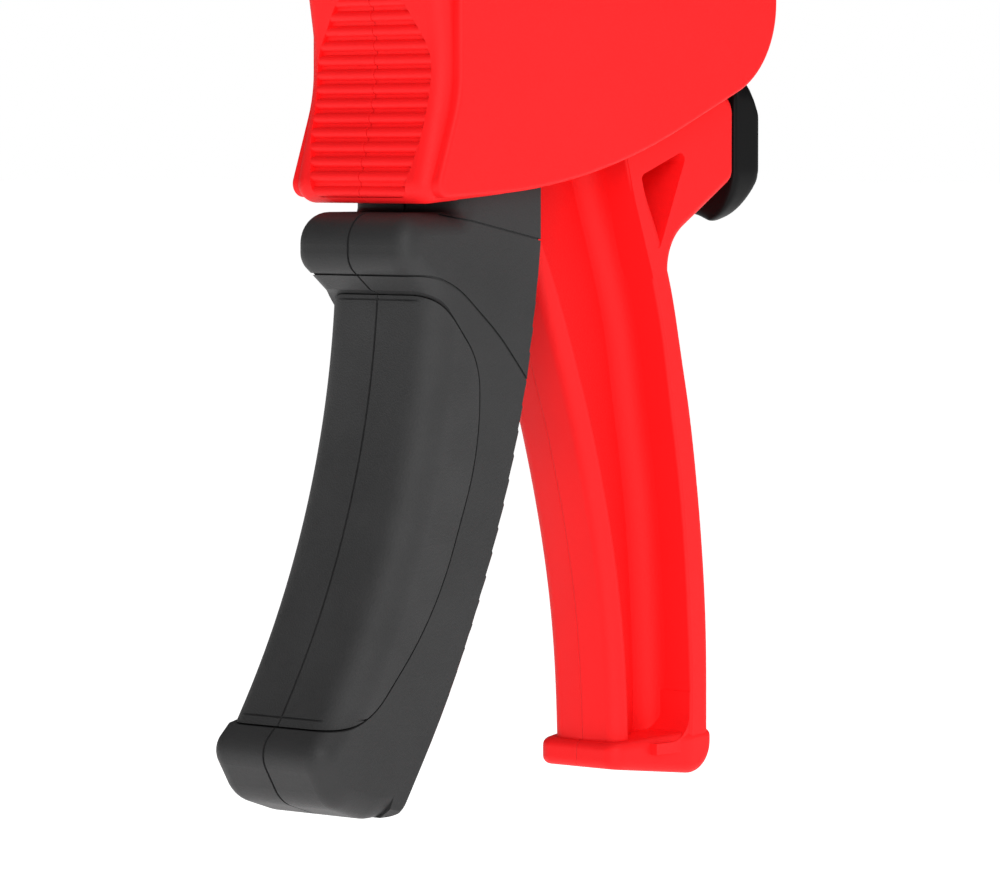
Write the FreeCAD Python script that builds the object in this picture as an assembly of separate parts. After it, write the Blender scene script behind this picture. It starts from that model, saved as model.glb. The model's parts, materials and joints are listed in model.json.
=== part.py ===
"""Heavy-duty manual caulking gun for 310 ml cartridges.

The gun has a two-part moulded housing with a raised round-bottomed side panel, a two-part
black handle with soft grip pads, and a long channel-section trigger on a cross pin.  The
trigger's upper arm pushes two gripping plates along a hexagonal push rod, a tilting brake
plate with a thumb lever holds the rod, and the half-round cradle swivels on the front bush.

Frame: millimetres, +X forwards along the push rod, +Y to the left side, +Z up.  The origin is
on the rod's axis at the housing's front face.
"""
import FreeCAD, Part
import math
import os

V = FreeCAD.Vector
PARTS = "parts"

# ---- driving dimensions ------------------------------------------------------------------
BODY_HALF = 20.0            # half width of the housing's rear section
BODY_EDGE_R = 3.9           # rounding of the rear section's upright edges
PANEL_HALF = 22.2           # half width over the raised side panels
WALL = 2.8                  # housing wall
SEAM = 0.1                  # each half stops this far from the middle plane
MOUTH_HALF = 17.3           # half width of the housing's open underside
PANEL_EDGE_R = 1.0          # rounding of the raised panel's rim

HANDLE_HALF = 17.0          # half width of the handle
HANDLE_EDGE_R = 4.9         # rounding of the handle's rear edges
HANDLE_FRONT_R = 0.8        # and of its front edges
PAD_EDGE_R = 7.4            # rounding of the soft pads' rear edges
PAD_DEPTH = 2.8             # thickness of the soft pads
SHELL_DEPTH = 5.0           # from the handle's surface to its hollow
GROOVE = 0.35               # width of the line round the pads
LINE_DEPTH = 0.4            # depth of the fine lines across the handle
NECK_REAR = -99.5           # x of the rear of the handle's neck inside the housing
SEAM_LINE = 0.3             # half width and depth of the line between the handle halves

PIVOT = (-40.0, -32.0)      # trigger pin, x and z
PIVOT_R = 4.0
PIN_HALF = PANEL_HALF - 3.0  # half length of the blind holes for the trigger and handle pins
ARM = 13.0                  # from the trigger pin up to the drive roller
RUNNING = 0.06              # radial clearance of turning fits
TRIGGER_HALF = 16.0         # half width of the trigger's finger flange
SPINE_HALF = 10.0           # half width of the trigger's rounded back
WEB_HALF = 3.0              # half thickness of the trigger's web beside the flange

ROD_FLATS = 9.0             # across the flats of the hexagonal rod
ROD_CORNER = ROD_FLATS / math.sqrt(3)
ROD_REAR = -318.0
ROD_FRONT = 12.0
ROD_HOLE_R = ROD_CORNER + 0.08
PLATE_HOLE_R = ROD_CORNER + 0.6

CRADLE_R = 25.6             # inside radius of the cradle, for a 50 mm cartridge
CRADLE_WALL = 1.2
CRADLE_FRONT = 229.0
COLLAR = (1.9, 4.9)         # x of the cradle's rear disc
SPIGOT_R = 11.0             # the front bush's nose, on which the cradle turns

FULCRUM = (-101.0, -22.0)   # foot of the brake plate, x and z
BRAKE_TILT = 6.0            # degrees, top towards the rear

SCREW_R = 1.9
SCREW_HEAD_R = 3.6
HOUSING_SCREWS = [(-12.0, 16.5), (-11.0, -21.0), (-60.0, 17.0), (-67.0, -19.0),
                  (-86.0, 17.5), (-99.5, -40.0)]
HANDLE_SCREWS = [(-93.8, -69.4), (-101.5, -124.0), (-119.0, -181.0)]
HANDLE_PIN = (-94.6, -60.4)
HANDLE_PIN_R = 2.0
MOUTH_X = NECK_REAR + SHELL_DEPTH  # rear wall of the room for the trigger inside the handle


# ---- outlines in the x-z plane: (x, z, corner radius) --------------------------------------
BODY = [(-115.8, -76.0, 4.2), (-108.3, -47.0, 45.0), (-114.3, -12.0, 9.0), (-114.3, 13.0, 9.0),
        (-97.0, 27.0, 16.0), (1.5, 27.0, 14.0), (1.5, -45.3, 22.0), (-61.9, -71.9, 185.0)]
PANEL = [(-113.6, -74.6, 3.0), (-105.6, -52.0, 30.0), (-105.6, 11.0, 8.0), (-90.5, 27.0, 10.0),
         (1.5, 27.0, 14.0), (1.5, -45.3, 22.0), (-61.9, -72.0, 185.0)]
HANDLE = [(NECK_REAR, -56.0, 1.5), (NECK_REAR, -77.5, 1.0), (-117.6, -77.5, 6.9), (-117.6, -88.8, 5.0),
          (-108.3, -96.0, 3.0), (-112.4, -143.9, 185.0), (-138.6, -185.4, 0.0),
          (-145.4, -191.8, 5.5), (-138.5, -203.2, 9.0), (-127.0, -206.9, 9.0),
          (-118.7, -206.5, 6.0), (-81.1, -148.1, 245.0), (-73.6, -84.0, 0.0), (-73.6, -56.0, 1.5)]
PAD = [(-150.0, -94.4, 0.0), (-107.6, -94.4, 12.0), (-94.2, -110.0, 16.0), (-94.1, -128.9, 60.0),
       (-108.1, -163.6, 80.0), (-129.7, -186.8, 20.0), (-160.0, -186.8, 0.0)]
HANDLE_FRONT_ZONE = [(-86.0, -50.0, 0.0), (-86.0, -95.0, 60.0), (-117.0, -192.0, 0.0),
                     (-127.0, -215.0, 0.0), (-60.0, -215.0, 0.0), (-60.0, -50.0, 0.0)]
HEEL_TAPER = [(-128.0, 3.9), (-112.0, 0.3)]   # x, and how far the wedge reaches in from the edge
PAD_BLOCK = [(-60.0, -80.0, 0.0), (-107.0, -80.0, 0.0), (-108.3, -96.0, 3.0),
             (-112.4, -143.9, 185.0), (-138.6, -185.4, 0.0), (-148.0, -200.0, 0.0),
             (-60.0, -200.0, 0.0)]
BUMPER = [(-5.9, -50.0, 1.0), (-4.6, -48.0, 0.0), (-4.6, -33.6, 0.0), (-6.4, -33.6, 0.0),
          (-6.4, -31.0, 0.5), (0.2, -31.0, 0.5), (0.2, -33.6, 0.0), (-1.6, -33.6, 0.0),
          (-1.6, -46.0, 1.0), (3.4, -53.5, 6.0), (3.4, -72.5, 13.0), (-1.6, -81.2, 3.0),
          (-5.9, -81.2, 1.5)]


def sub(a, b):
    return (a[0] - b[0], a[1] - b[1])


def unit(a):
    n = math.hypot(*a)
    return (a[0] / n, a[1] / n)


def rounded_wire(points, plane):
    """Closed wire of lines and tangent arcs; plane maps two numbers to a point."""
    edges, ends = [], []
    n = len(points)
    for i, (x, z, r) in enumerate(points):
        a = unit(sub(points[i - 1][:2], (x, z)))
        b = unit(sub(points[(i + 1) % n][:2], (x, z)))
        half = math.acos(max(-1.0, min(1.0, a[0] * b[0] + a[1] * b[1]))) / 2
        if r <= 0 or abs(half - math.pi / 2) < 1e-6:
            ends.append(((x, z), None, (x, z)))
            continue
        t = r / math.tan(half)
        mid = unit((a[0] + b[0], a[1] + b[1]))
        reach = r / math.sin(half) - r
        ends.append(((x + a[0] * t, z + a[1] * t), (x + mid[0] * reach, z + mid[1] * reach),
                     (x + b[0] * t, z + b[1] * t)))
    for i, (start, middle, end) in enumerate(ends):
        if middle:
            edges.append(Part.Arc(plane(*start), plane(*middle), plane(*end)).toShape())
        nxt = ends[(i + 1) % n][0]
        side = sub(points[(i + 1) % n][:2], points[i][:2])
        gap = sub(nxt, end)
        if gap[0] * side[0] + gap[1] * side[1] < -1e-6:
            raise ValueError(f"the roundings at corners {i} and {(i + 1) % n} overlap: {points[i]}")
        if math.hypot(*gap) > 1e-6:
            edges.append(Part.makeLine(plane(*end), plane(*nxt)))
    return Part.Wire(edges)


def inset(points, d):
    """The same outline moved inwards by d; convex corners tighten and hollow ones open."""
    n = len(points)
    area = sum(points[i][0] * points[(i + 1) % n][1] - points[(i + 1) % n][0] * points[i][1]
               for i in range(n))
    s = 1.0 if area > 0 else -1.0
    moved = []
    for i in range(n):
        p, q = points[i], points[(i + 1) % n]
        ux, uz = unit(sub(q[:2], p[:2]))
        nx, nz = -uz * s, ux * s
        moved.append(((p[0] + nx * d, p[1] + nz * d), (ux, uz)))
    out = []
    for i in range(n):
        (a, u), (b, w) = moved[i - 1], moved[i]
        cross = u[0] * w[1] - u[1] * w[0]
        r = points[i][2]
        if abs(cross) < 1e-9:
            out.append((b[0], b[1], r))
            continue
        t = ((b[0] - a[0]) * w[1] - (b[1] - a[1]) * w[0]) / cross
        convex = cross * s > 0
        out.append((a[0] + u[0] * t, a[1] + u[1] * t, max(r - d, 0.0) if convex else r + d))
    return out


def prism(points, y0, y1):
    """An x-z outline extruded from y0 to y1."""
    face = Part.Face(rounded_wire(points, lambda x, z: V(x, y0, z)))
    return face.extrude(V(0, y1 - y0, 0))


def plate(points, x0, x1):
    """A y-z outline extruded from x0 to x1."""
    face = Part.Face(rounded_wire(points, lambda y, z: V(x0, y, z)))
    return face.extrude(V(x1 - x0, 0, 0))


def box(x0, x1, y0, y1, z0, z1):
    return Part.makeBox(x1 - x0, y1 - y0, z1 - z0, V(x0, y0, z0))


def cyl_x(x0, x1, r, y=0.0, z=0.0):
    return Part.makeCylinder(r, x1 - x0, V(x0, y, z), V(1, 0, 0))


def cyl_y(x, z, y0, y1, r):
    return Part.makeCylinder(r, y1 - y0, V(x, y0, z), V(0, 1, 0))


def hexagon(x0, x1, flats, z=0.0):
    """Hexagonal bar along x with two flats facing up and down."""
    r = flats / math.sqrt(3)
    pts = [(r * math.cos(math.radians(60 * k)), z + r * math.sin(math.radians(60 * k)), 0.0)
           for k in range(6)]
    return plate(pts, x0, x1)


def round_edges(shape, radius, wanted):
    """Fillet the edges for which wanted(edge) holds."""
    edges = [e for e in shape.Edges if wanted(e)]
    return shape.makeFillet(radius, edges)


def at_y(edge, y, tol=1e-4):
    """True for an edge that lies in the plane of that y."""
    b = edge.BoundBox
    return abs(b.YMin - y) < tol and abs(b.YMax - y) < tol


def mirrored(shape):
    return shape.mirror(V(0, 0, 0), V(0, 1, 0))


def save(name, shape):
    shape = shape.removeSplitter() if shape.ShapeType != "Compound" else shape
    solids = shape.Solids
    out = solids[0] if len(solids) == 1 else Part.makeCompound(solids)
    bad = [s for s in solids if not s.isValid() or s.Volume <= 0]
    out.exportStep(os.path.join(PARTS, name + ".step"))
    print(f"{name}: {len(solids)} solid(s), {out.Volume / 1000:.2f} cm3{' INVALID' if bad else ''}")
    return out


# ---- housing -----------------------------------------------------------------------------
RIB_PITCH = 3.15
RIB_R = 1.2
RIB_COUNT = 15
RIB_LOW_Z = -73.0
RIB_FIELD_DEPTH = 1.1
RIB_FIELD = [(-13.4, -74.3, 2.2), (13.4, -74.3, 2.2), (16.4, -61.0, 20.0), (17.0, -43.5, 13.0),
             (9.5, -31.5, 8.0), (0.0, -28.8, 8.0), (-9.5, -31.5, 8.0), (-17.0, -43.5, 13.0),
             (-16.4, -61.0, 20.0)]


def rear_x(z):
    """x of the housing's rear face at height z."""
    side = Part.Face(rounded_wire(BODY, lambda x, zz: V(x, 0, zz)))
    across = side.common(Part.makeLine(V(-130, 0, z), V(-90, 0, z)))
    return min(v.X for v in across.Vertexes)


def housing_outer():
    body = prism(BODY, -BODY_HALF, BODY_HALF)
    body = round_edges(body, BODY_EDGE_R, lambda e: (at_y(e, -BODY_HALF) or at_y(e, BODY_HALF))
                       and e.CenterOfMass.x < -103 and e.CenterOfMass.z < 22)
    panel = prism(PANEL, -PANEL_HALF, PANEL_HALF)
    panel = round_edges(panel, PANEL_EDGE_R,
                        lambda e: at_y(e, -PANEL_HALF) or at_y(e, PANEL_HALF))
    return body.fuse(panel)


def rib_field():
    """The thumb rest's ridged field: a shallow hollow in the rear face, filled by round ribs."""
    region = plate(RIB_FIELD, -125, -100)
    deep = prism(inset(BODY, RIB_FIELD_DEPTH), -BODY_HALF, BODY_HALF)
    hollow = region.cut(deep)
    ribs = []
    for k in range(RIB_COUNT):
        z = RIB_LOW_Z + k * RIB_PITCH
        ribs.append(cyl_y(rear_x(z) + RIB_R, z, -BODY_HALF, BODY_HALF, RIB_R))
    bars = ribs[0].fuse(ribs[1:]).common(region)
    return hollow, bars


def housing_halves():
    outer = housing_outer()
    hollow, bars = rib_field()
    outer = outer.cut(hollow).fuse(bars)
    inner = prism(inset(BODY, WALL), -(BODY_HALF - WALL), BODY_HALF - WALL)
    inner = inner.fuse(prism(inset(PANEL, WALL), -(PANEL_HALF - WALL), PANEL_HALF - WALL))
    mouth = prism([(-101.0, -80.0, 0), (-101.0, -70.0, 0), (-2.0, -36.5, 0), (3.0, -36.5, 0),
                   (3.0, -80.0, 0)], -MOUTH_HALF, MOUTH_HALF)
    shell = outer.cut(inner).cut(mouth)
    shell = shell.fuse(box(-8.0, 1.0, -BODY_HALF, BODY_HALF, -36.5, -29.0))
    # bearing seats for the trigger pin, the two rod bushes and the brake plate's foot
    seats = [cyl_y(*PIVOT, -PANEL_HALF + 1.5, -TRIGGER_HALF - 0.5, 8.5),
             cyl_y(*PIVOT, TRIGGER_HALF + 0.5, PANEL_HALF - 1.5, 8.5),
             cyl_x(-8.6, -1.0, 17.5), cyl_x(-112.5, -108.0, 13.0),
             box(-106.5, -103.2, -18.0, 18.0, -29.0, -17.0),
             box(-106.5, -96.0, -18.0, 18.0, -29.0, -24.6)]
    for x, z in HOUSING_SCREWS:
        seats.append(cyl_y(x, z, -PANEL_HALF + 1.5, PANEL_HALF - 1.5, 4.4))
    keep = prism(inset(BODY, 1.0), -(PANEL_HALF - 1.0), PANEL_HALF - 1.0)
    ribs = seats[0].fuse(seats[1:]).common(keep)
    shell = shell.fuse(ribs)
    holes = [cyl_y(*PIVOT, -PIN_HALF, PIN_HALF, PIVOT_R + 0.01),
             cyl_x(-9.0, 2.0, SPIGOT_R + 0.02), cyl_x(-8.6, -3.6, 15.02), cyl_x(0.0, 2.0, 20.4),
             cyl_x(-115.0, -104.0, 9.02), box(-108.5, -104.0, -10, 10, -16.0, 16.0),
             box(-113.5, -91.0, -7.0, 7.0, 8.0, 30.0),
             cyl_y(*HANDLE_PIN, -PIN_HALF, PIN_HALF, HANDLE_PIN_R + 0.02),
             prism(BUMPER, -9.0, 9.0)]
    for x, z in HOUSING_SCREWS:
        holes.append(cyl_y(x, z, -15.0, PANEL_HALF + 1, SCREW_R + 0.06))
        holes.append(cyl_y(x, z, PANEL_HALF - 2.9, PANEL_HALF + 1, SCREW_HEAD_R + 0.25))
    shell = shell.cut(holes[0].fuse(holes[1:]))
    side = box(-130, 10, -30, -SEAM, -90, 40)
    return shell.common(side), shell.common(mirrored(side))


# ---- handle ------------------------------------------------------------------------------
TAIL_LINE = [(-130.0, -91.2, 0.0), (-104.3, -91.2, 25.0), (-87.5, -104.8, 60.0),
             (-73.9, -119.8, 0.0), (-73.5, -119.4, 0.0), (-87.1, -104.4, 60.0),
             (-104.1, -90.75, 25.0), (-130.0, -90.75, 0.0)]
PAD_LINES = [(-130.0, -104.6, -96.4), (-150.0, -126.0, -185.0)]   # x from, x to, and z
NECK_LINE = [(-104.0, -78.2, 0.0), (-69.0, -84.9, 0.0), (-69.0, -84.45, 0.0),
             (-104.0, -77.75, 0.0)]


def heel_taper(depth):
    """Wedge off the heel's lower edge, from the rear rounding's width to nothing in front."""
    y, z = HANDLE_HALF - depth + 0.2, -207.2 + depth
    ends = []
    for x, leg in HEEL_TAPER:
        corner = [V(x, y, z), V(x, y - leg, z), V(x, y, z + leg)]
        ends.append(Part.makePolygon(corner + corner[:1]))
    return Part.makeLoft(ends, True, True)


def handle_solid(depth):
    """The handle's side outline moved in by depth; its rear edges are rounder than its front."""
    half = HANDLE_HALF - depth
    block = prism(inset(HANDLE, depth), -half, half)
    rear_r, front_r = HANDLE_EDGE_R - depth, HANDLE_FRONT_R
    rear, front = [round_edges(block, r, lambda e: at_y(e, -half) or at_y(e, half))
                   for r in (rear_r, front_r)]
    front = front.common(prism(HANDLE_FRONT_ZONE, -20, 20))
    taper = heel_taper(depth)
    return rear.fuse(front.cut(taper).cut(mirrored(taper)))


def handle_parts():
    outer = handle_solid(0.0)
    skin = handle_solid(LINE_DEPTH)
    under_pad = handle_solid(PAD_DEPTH)
    pad_block = prism(PAD_BLOCK, -HANDLE_HALF, HANDLE_HALF)
    pad_block = round_edges(pad_block, PAD_EDGE_R, lambda e: (
        at_y(e, -HANDLE_HALF) or at_y(e, HANDLE_HALF)) and e.CenterOfMass.x < -105.0)
    hollow = prism(inset(HANDLE, SHELL_DEPTH), -(HANDLE_HALF - 3.0), HANDLE_HALF - 3.0)
    side_hollow = prism(inset(HANDLE, SHELL_DEPTH), -(HANDLE_HALF - SHELL_DEPTH),
                        HANDLE_HALF - SHELL_DEPTH)
    pad_room = prism(PAD, -30, 30)
    shell = outer.cut(prism(inset(PAD, -GROOVE), -30, 30)).fuse(under_pad)
    for line in (TAIL_LINE, NECK_LINE):
        shell = shell.cut(prism(line, -20, 20).cut(skin))
    ring = prism(HANDLE, -SEAM_LINE, SEAM_LINE).cut(
        prism(inset(HANDLE, SEAM_LINE + 0.2), -1, 1))
    shell = shell.cut(side_hollow).cut(ring)
    top = hollow.common(box(-110, -60, -20, 20, -94, -50))
    mouth = box(MOUTH_X, -70, -HANDLE_HALF + 3.0, HANDLE_HALF - 3.0, -66, -50)
    slot = prism([(MOUTH_X, -50, 0), (MOUTH_X, -66, 0),
                  (-96, -95, 20), (-98, -140, 40), (-104, -171, 2), (-80, -171, 0),
                  (-60, -120, 0), (-60, -50, 0)], -11.2, 11.2)
    shell = shell.cut(top).cut(mouth).cut(slot)
    reach = HANDLE_HALF - PAD_DEPTH
    seats = [cyl_y(x, z, -reach, reach, 4.2) for x, z in HANDLE_SCREWS]
    seats.append(cyl_y(*HANDLE_PIN, -reach, reach, 4.0))
    keep = prism(inset(HANDLE, 1.0), -HANDLE_HALF + 1.0, HANDLE_HALF - 1.0)
    shell = shell.fuse(seats[0].fuse(seats[1:]).common(keep))
    holes = [cyl_y(x, z, -11.0, HANDLE_HALF + 1, SCREW_R + 0.06) for x, z in HANDLE_SCREWS]
    holes += [cyl_y(x, z, HANDLE_HALF - 2.6, HANDLE_HALF + 1, SCREW_HEAD_R + 0.2)
              for x, z in HANDLE_SCREWS]
    holes.append(cyl_y(*HANDLE_PIN, -20, 20, HANDLE_PIN_R + 0.02))
    shell = shell.cut(holes[0].fuse(holes[1:]))
    pads = pad_block.common(pad_room).cut(under_pad)
    pads = pads.cut(ring)
    under_line = pad_block.cut(prism(inset(PAD_BLOCK, LINE_DEPTH), -HANDLE_HALF + LINE_DEPTH,
                                     HANDLE_HALF - LINE_DEPTH))
    for x0, x1, z in PAD_LINES:
        pads = pads.cut(box(x0, x1, -20, 20, z - 0.2, z + 0.2).common(under_line))
    for x, z in HANDLE_SCREWS[1:2]:
        pads = pads.cut(cyl_y(x, z, HANDLE_HALF - 4.0, HANDLE_HALF + 1, SCREW_HEAD_R + 0.6))
    side = box(-160, -60, -30, -SEAM, -220, -40)
    return [s.common(side) for s in (shell, pads)] + [s.common(mirrored(side))
                                                      for s in (shell, pads)]


# ---- trigger -----------------------------------------------------------------------------
# Cross-sections of the lever at these heights: z, back x, flange inner x, front x.
LEVER = [(-64.0, -78.0, -45.0, -38.6), (-76.0, -74.6, -41.1, -35.6), (-90.0, -67.6, -36.0, -29.2),
         (-104.0, -61.5, -31.8, -25.3), (-120.0, -55.4, -28.8, -21.7),
         (-137.0, -50.0, -25.7, -18.7), (-155.0, -45.5, -23.4, -16.4),
         (-172.0, -42.6, -22.1, -15.1), (-199.5, -40.7, -22.0, -14.7)]
KNEE = [(-44.0, -66.0, 0.0), (-41.6, -74.6, 0.0), (-35.0, -93.0, 0.0), (-29.0, -93.0, 0.0),
        (-29.0, -84.8, 11.0), (-6.4, -70.6, 3.5), (-6.4, -53.5, 5.0), (-20.0, -42.0, 8.0),
        (-40.0, -22.5, 9.5), (-58.0, -33.0, 12.0), (-76.0, -64.0, 8.0)]
KNEE_POCKET = [(-39.4, -69.8, 1.2), (-23.0, -63.6, 1.5), (-33.8, -88.4, 1.2)]
FOOT = [(-42.9, 11.4, 4.0), (-22.0, 16.2, 10.0), (-13.9, 16.2, 0.0), (-13.9, -16.2, 0.0),
        (-22.0, -16.2, 10.0), (-42.9, -11.4, 4.0)]
FOOT_SIDE = [(-45.0, -197.8, 0.0), (-13.9, -195.4, 0.0), (-13.9, -206.3, 7.0), (-45.0, -203.2, 0.0)]
FOOT_EDGE_R = 1.9
# hollow corner between the finger flange and the foot
FOOT_CORNER = [(-21.6, -187.0, 0.0), (-21.6, -198.0, 6.0), (-33.0, -198.0, 0.0),
               (-33.0, -200.5, 0.0), (-16.0, -200.5, 0.0), (-16.0, -187.0, 0.0)]


def lever_section(z, back, inner, front):
    """Cross-section of the lever: rounded back, sides sweeping in to a web, finger flange."""
    s, w, t = SPINE_HALF, WEB_HALF, TRIGGER_HALF
    # from the middle of the back to the middle of the front, in pairs of an arc's middle and end
    path = [((back + 0.1, 3.0), (back + 0.4, s - 4.0)),
            ((back + 1.5, s - 1.1), (back + 4.2, s)),
            (((back + inner) / 2 - 1.0, (s + w) / 2 - 0.2), (inner - 5.2, w)),
            ((inner - 1.5, w + 1.6), (inner, w + 5.4)),
            (None, (inner, t - 0.7)),
            ((inner + 0.2, t - 0.2), (inner + 0.7, t)),
            (None, (front - 2.2, t)),
            ((front - 0.6, t - 0.6), (front, t - 2.2)),
            ((front + 0.4, (t - 2.2) / 2), (front + 0.5, 0.0))]
    edges = []
    for side in (-1, 1):
        here = (back, 0.0)
        for middle, end in path:
            a, b = V(here[0], side * here[1], z), V(end[0], side * end[1], z)
            if side > 0:
                a, b = b, a
            if middle:
                edges.append(Part.Arc(a, V(middle[0], side * middle[1], z), b).toShape())
            else:
                edges.append(Part.makeLine(a, b))
            here = end
    near, far = edges[:len(path)], edges[len(path):]
    return Part.Wire(near + far[::-1])


def trigger():
    lever = Part.makeLoft([lever_section(*row) for row in LEVER], True, False)
    foot = Part.Face(rounded_wire(FOOT, lambda x, y: V(x, y, -210))).extrude(V(0, 0, 20))
    foot = foot.common(prism(FOOT_SIDE, -20, 20))
    foot = round_edges(foot, FOOT_EDGE_R,
                       lambda e: e.BoundBox.XLength + e.BoundBox.YLength > 0.01)
    foot = foot.fuse(prism(FOOT_CORNER, -TRIGGER_HALF + 0.4, TRIGGER_HALF - 0.4))
    half = TRIGGER_HALF + 0.15
    knee = prism(KNEE, -half, half)
    knee = round_edges(knee, 2.0, lambda e: (at_y(e, -half) or at_y(e, half))
                       and e.CenterOfMass.x > -31.0 and e.CenterOfMass.z < -45.0)
    # between the flange and the back the head is as narrow as the lever's back
    cheek = prism([(-90, -60, 0), (-90, -95, 0), (-35.0, -95, 0), (-41.6, -74.6, 0),
                   (-44.6, -64, 0), (-52.0, -46, 3), (-60, -34, 0), (-90, -34, 0)], SPINE_HALF, 20)
    knee = knee.cut(cheek).cut(mirrored(cheek))
    pocket = prism(KNEE_POCKET, 4.0, 20)
    knee = knee.cut(pocket).cut(mirrored(pocket))
    arm_outline = [(-45.5, -34.0, 0), (-45.0, -14.5, 4.0), (-36.6, -14.5, 4.0), (-34.0, -34.0, 0)]
    arms = prism(arm_outline, 9.7, 13.0).fuse(prism(arm_outline, -13.0, -9.7))
    shape = lever.fuse([foot, knee]).cut(box(-60, -30, -9.7, 9.7, -26.5, -10))
    shape = shape.cut(box(-60, -20, 13.0, 17, -23.5, -10)).cut(box(-60, -20, -17, -13.0, -23.5, -10))
    shape = shape.fuse(arms)
    shape = shape.cut(cyl_y(*PIVOT, -20, 20, PIVOT_R + RUNNING))
    return shape.cut(cyl_y(PIVOT[0], PIVOT[1] + ARM, -20, 20, 1.51))


# ---- drive, brake, rod and cradle --------------------------------------------------------
def spring(x0, x1, r, wire_r, turns):
    """Compression spring along x, as one round-wire coil."""
    pitch = (x1 - x0 - 2 * wire_r) / turns
    helix = Part.makeHelix(pitch, pitch * turns, r)
    profile = Part.Wire(Part.makeCircle(wire_r, V(r, 0, 0), V(0, 1, 0)))
    coil = Part.Wire(helix).makePipeShell([profile], True, True)
    coil.rotate(V(0, 0, 0), V(0, 1, 0), 90)
    coil.translate(V(x0 + wire_r, 0, 0))
    return coil


def tilted(shape):
    """Lean the brake's top towards the rear about its foot."""
    shape.rotate(V(FULCRUM[0], 0, FULCRUM[1]), V(0, 1, 0), -BRAKE_TILT)
    return shape


def brake_plate():
    x = FULCRUM[0]
    outline = [(-9.0, -24.0, 2.0), (9.0, -24.0, 2.0), (9.0, 14.0, 4.0), (4.5, 17.0, 1.0),
               (4.5, 25.0, 1.5), (-4.5, 25.0, 1.5), (-4.5, 17.0, 1.0), (-9.0, 14.0, 4.0)]
    return tilted(plate(outline, x - 1.5, x + 1.5).cut(cyl_x(x - 5, x + 5, PLATE_HOLE_R)))


def release_lever():
    x = FULCRUM[0]
    outline = [(x + 3.2, 17.4, 1.0), (x + 3.2, 27.0, 3.0), (x - 1.0, 38.5, 4.0),
               (x - 6.5, 39.0, 2.0), (x - 3.4, 28.0, 6.0), (x - 3.4, 17.4, 1.0)]
    lever = prism(outline, -6.2, 6.2)
    lever = lever.fuse(prism([(x - 6.9, 30.0, 1.0), (x - 2.0, 30.0, 0), (x - 0.6, 38.6, 2.5),
                              (x - 6.9, 39.6, 1.5)], -9.0, 9.0))
    for k in range(4):
        lever = lever.cut(cyl_y(x - 7.5, 31.6 + 2.1 * k, -10, 10, 0.95))
    lever = tilted(lever)
    return lever.cut(brake_plate())


def piston():
    disc = cyl_x(12.0, 15.0, 22.5)
    rim = cyl_x(12.0, 18.5, 22.5).cut(cyl_x(14.0, 19.0, 20.6))
    cup = disc.fuse(rim).cut(cyl_x(10, 19, 4.01))
    return round_edges(cup, 0.8, lambda e: abs(e.BoundBox.XMax - 12.0) < 1e-4
                       and e.BoundBox.ZLength > 30)


def rod():
    bar = hexagon(ROD_REAR - 16.0, ROD_FRONT, ROD_FLATS)
    stud = cyl_x(ROD_FRONT, 22.5, 4.0)
    return bar.fuse(stud).cut(cyl_y(-326.0, 0.0, -20, 20, 1.51))


def rod_pull():
    """Moulded pull with a socket for the rod and a hanging hole in its blade."""
    socket = cyl_x(-346.0, ROD_REAR, 9.0)
    blade = prism([(-346.0, 2.0, 0), (-346.0, -36.0, 8.0), (-330.0, -38.0, 7.0),
                   (-328.0, -14.0, 12.0), (-320.0, -4.0, 0), (-320.0, 2.0, 0)], -4.0, 4.0)
    blade = round_edges(blade, 1.5, lambda e: at_y(e, 4.0) or at_y(e, -4.0))
    pull = socket.fuse(blade)
    pull = pull.cut(hexagon(ROD_REAR - 16.1, ROD_REAR + 1, ROD_FLATS + 0.06))
    pull = pull.cut(cyl_y(-326.0, 0.0, -20, 20, 1.51))
    return pull.cut(cyl_y(-337.5, -28.5, -10, 10, 5.0))


def trough():
    """Half-round sheet cradle with outward lips along both edges."""
    outer = CRADLE_R + CRADLE_WALL
    tube = cyl_x(COLLAR[1], CRADLE_FRONT - 3.0, outer).cut(
        cyl_x(COLLAR[1] - 1, CRADLE_FRONT, CRADLE_R))
    half = tube.common(box(0, 240, -40, 40, -40, 0))
    lips = box(COLLAR[1], CRADLE_FRONT - 3.0, CRADLE_R, outer + 2.4, -CRADLE_WALL, 0)
    return half.fuse([lips, mirrored(lips)])


def cradle_collar():
    disc = cyl_x(*COLLAR, CRADLE_R + CRADLE_WALL)
    rim = cyl_x(COLLAR[0], COLLAR[1] + 9.0, CRADLE_R + CRADLE_WALL).cut(
        cyl_x(COLLAR[1], COLLAR[1] + 10.0, CRADLE_R)).common(box(0, 40, -40, 40, 0.0, 40))
    return disc.fuse(rim).cut(cyl_x(0, 20, SPIGOT_R + 0.1))


def front_plate():
    r = CRADLE_R + CRADLE_WALL
    disc = cyl_x(CRADLE_FRONT - 3.0, CRADLE_FRONT, r)
    disc = disc.common(box(0, 300, -40, 40, -40, 14.0))
    slot = plate([(-10.2, -10.0, 10.1), (10.2, -10.0, 10.1), (10.2, 40, 0), (-10.2, 40, 0)],
                 200, 300)
    return disc.cut(slot)


def front_bumper():
    """Stop that the trigger's knee rests against, hung from a T-shaped tongue."""
    lobe = prism(BUMPER, -15.6, 15.6)
    ends = plate([(-15.6, -81.4, 12.0), (15.6, -81.4, 12.0), (15.6, -49.5, 6.0),
                  (-15.6, -49.5, 6.0)], -20, 20)
    lobe = lobe.common(ends)
    lobe = round_edges(lobe, 1.0, lambda e: abs(e.BoundBox.XMin - 3.4) < 1e-3
                       and e.BoundBox.XLength < 1e-3 and e.BoundBox.YLength < 1e-3)
    tongue = prism(BUMPER, -9.0, 9.0).common(box(-10, 5, -9, 9, -52, -30))
    return lobe.fuse(tongue).cut(cyl_x(-20, 20, 14.0, 0.0, -92.6))


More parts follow.
